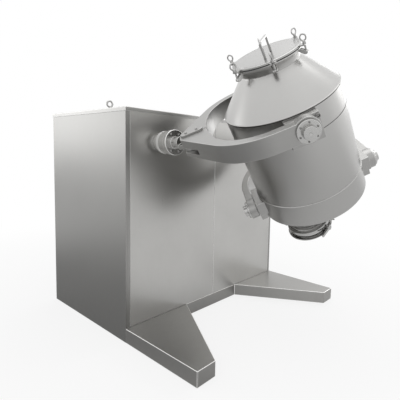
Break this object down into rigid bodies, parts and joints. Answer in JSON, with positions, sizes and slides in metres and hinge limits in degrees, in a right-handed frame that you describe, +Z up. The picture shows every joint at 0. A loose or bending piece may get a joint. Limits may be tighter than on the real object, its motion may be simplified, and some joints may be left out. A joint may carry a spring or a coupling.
{
  "type": "powder mixer",
  "caption": "Three-dimensional motion powder mixer: a steel cabinet with two shafts and two forks that carry a tilting barrel with a clamped lid and a valved outlet.",
  "frame": {"origin": "on the floor, at the middle of the cabinet's footprint", "axes": "+Z up, -Y towards the barrel in front of the cabinet, +X to the right seen from the front"},
  "size_m": [1.418, 1.9345, 1.7797],
  "materials": {
    "brushed_steel": "brushed",
    "satin_steel": "satin",
    "polished_steel": "polished",
    "white_seal": "matte",
    "black_rubber": "matte",
    "cast_housing": "machined",
    "painted_metal": "satin",
    "chain_steel": "oiled",
    "machined_steel": "machined",
    "bronze": "machined"
  },
  "bodies": {
    "stand": {"base_frame": "brushed_steel", "left_side_panel": "brushed_steel", "right_side_panel": "brushed_steel", "front_panel_left": "brushed_steel", "front_panel_right": "brushed_steel", "rear_panel": "brushed_steel", "panel_screws": "polished_steel", "top_cover": "brushed_steel", "lifting_eyes": "polished_steel", "inner_frame": "painted_metal", "drive_bearing_housing": "cast_housing", "driven_bearing_housing": "cast_housing", "drive_seal_ring": "white_seal", "driven_seal_ring": "white_seal", "rear_bearing_blocks": "cast_housing", "drive_chain": "chain_steel", "chain_guide": "painted_metal", "gearbox": "painted_metal", "motor": "painted_metal", "motor_stand": "painted_metal"},
    "drive_shaft": {"drive_shaft": "machined_steel", "drive_flange_bolts": "polished_steel", "shaft_sprocket": "chain_steel"},
    "motor_shaft": {"motor_sprocket": "chain_steel"},
    "driven_shaft": {"driven_shaft": "machined_steel", "driven_flange_bolts": "polished_steel"},
    "upper_fork": {"upper_fork": "satin_steel", "upper_fork_pin": "machined_steel", "upper_pin_keeper": "satin_steel", "upper_trunnion_bushes": "bronze", "upper_bearing_covers": "satin_steel", "upper_cover_screws": "polished_steel"},
    "lower_fork": {"lower_fork": "satin_steel", "lower_fork_pin": "machined_steel", "lower_pin_keeper": "satin_steel", "lower_trunnion_bushes": "bronze", "lower_bearing_covers": "satin_steel", "lower_cover_screws": "polished_steel"},
    "barrel": {"barrel_shell": "satin_steel", "upper_trunnion_pads": "satin_steel", "lower_trunnion_pads": "satin_steel", "upper_trunnions": "machined_steel", "lower_trunnions": "machined_steel", "lid": "satin_steel", "lid_gasket": "black_rubber", "lid_handle": "polished_steel", "clamp_brackets": "polished_steel", "valve_body": "polished_steel", "outlet_gasket": "black_rubber", "outlet_clamp": "polished_steel"},
    "valve": {"valve_disc": "polished_steel", "valve_lever": "polished_steel"},
    "swing_bolt_1": {"swing_bolt_1": "polished_steel"},
    "swing_bolt_2": {"swing_bolt_2": "polished_steel"},
    "swing_bolt_3": {"swing_bolt_3": "polished_steel"},
    "swing_bolt_4": {"swing_bolt_4": "polished_steel"},
    "swing_bolt_5": {"swing_bolt_5": "polished_steel"},
    "swing_bolt_6": {"swing_bolt_6": "polished_steel"}
  },
  "joints": [
    {"name": "drive_spin", "type": "hinge", "parent": "stand", "child": "drive_shaft", "pos_m": [-0.4745, -0.741, 1.165], "axis": [0, 1, 0], "range_deg": [-5, 5]},
    {"name": "motor_spin", "type": "hinge", "parent": "stand", "child": "motor_shaft", "pos_m": [-0.4745, -0.16, 0.545], "axis": [0, 1, 0], "range_deg": [-12, 12]},
    {"name": "driven_spin", "type": "hinge", "parent": "stand", "child": "driven_shaft", "pos_m": [0.4745, -0.741, 1.165], "axis": [0, 1, 0], "range_deg": [-5.2, 5.2]},
    {"name": "upper_fork_swing", "type": "hinge", "parent": "drive_shaft", "child": "upper_fork", "pos_m": [-0.4745, -0.741, 1.165], "axis": [0.5606, 0, -0.8281], "range_deg": [-3.6, 3.6]},
    {"name": "barrel_rock", "type": "hinge", "parent": "upper_fork", "child": "barrel", "pos_m": [-0.14914, -1.12286, 1.38528], "axis": [-0.5771, -0.7171, -0.3907], "range_deg": [-7.5, 7.5]},
    {"name": "lower_fork_swing", "type": "hinge", "parent": "barrel", "child": "lower_fork", "pos_m": [0.16745, -1.13407, 0.93825], "axis": [-0.5771, 0.6966, -0.4262], "range_deg": [-7.2, 7.2]},
    {"name": "valve_turn", "type": "hinge", "parent": "barrel", "child": "valve", "pos_m": [0.1645, -1.1403, 0.68984], "axis": [-0.0995, -0.994, -0.0455], "range_deg": [0, 90]},
    {"name": "clamp_swing_1", "type": "hinge", "parent": "barrel", "child": "swing_bolt_1", "pos_m": [-0.42365, -1.25371, 1.50057], "axis": [0.5246, -0.7565, 0.3905], "range_deg": [0, 120]},
    {"name": "clamp_swing_2", "type": "hinge", "parent": "barrel", "child": "swing_bolt_2", "pos_m": [-0.26412, -1.322, 1.61526], "axis": [0.8038, 0.1879, 0.5645], "range_deg": [0, 120]},
    {"name": "clamp_swing_3", "type": "hinge", "parent": "barrel", "child": "swing_bolt_3", "pos_m": [-0.13408, -1.18603, 1.70395], "axis": [0.2792, 0.9443, 0.174], "range_deg": [0, 120]},
    {"name": "clamp_swing_4", "type": "hinge", "parent": "barrel", "child": "swing_bolt_4", "pos_m": [-0.16356, -0.98178, 1.67795], "axis": [-0.5246, 0.7565, -0.3905], "range_deg": [0, 120]},
    {"name": "clamp_swing_5", "type": "hinge", "parent": "barrel", "child": "swing_bolt_5", "pos_m": [-0.32308, -0.91349, 1.56326], "axis": [-0.8038, -0.1879, -0.5645], "range_deg": [0, 120]},
    {"name": "clamp_swing_6", "type": "hinge", "parent": "barrel", "child": "swing_bolt_6", "pos_m": [-0.45312, -1.04946, 1.47457], "axis": [-0.2792, -0.9443, -0.174], "range_deg": [0, 120]}
  ],
  "couplings": [
    {"joint": "motor_spin", "follows": "drive_spin", "ratio": 2.4},
    {"joint": "driven_spin", "follows": "drive_spin", "ratio": -1.0294},
    {"joint": "upper_fork_swing", "follows": "drive_spin", "ratio": -0.69665},
    {"joint": "barrel_rock", "follows": "drive_spin", "ratio": 1.4764},
    {"joint": "lower_fork_swing", "follows": "drive_spin", "ratio": -1.3933}
  ]
}
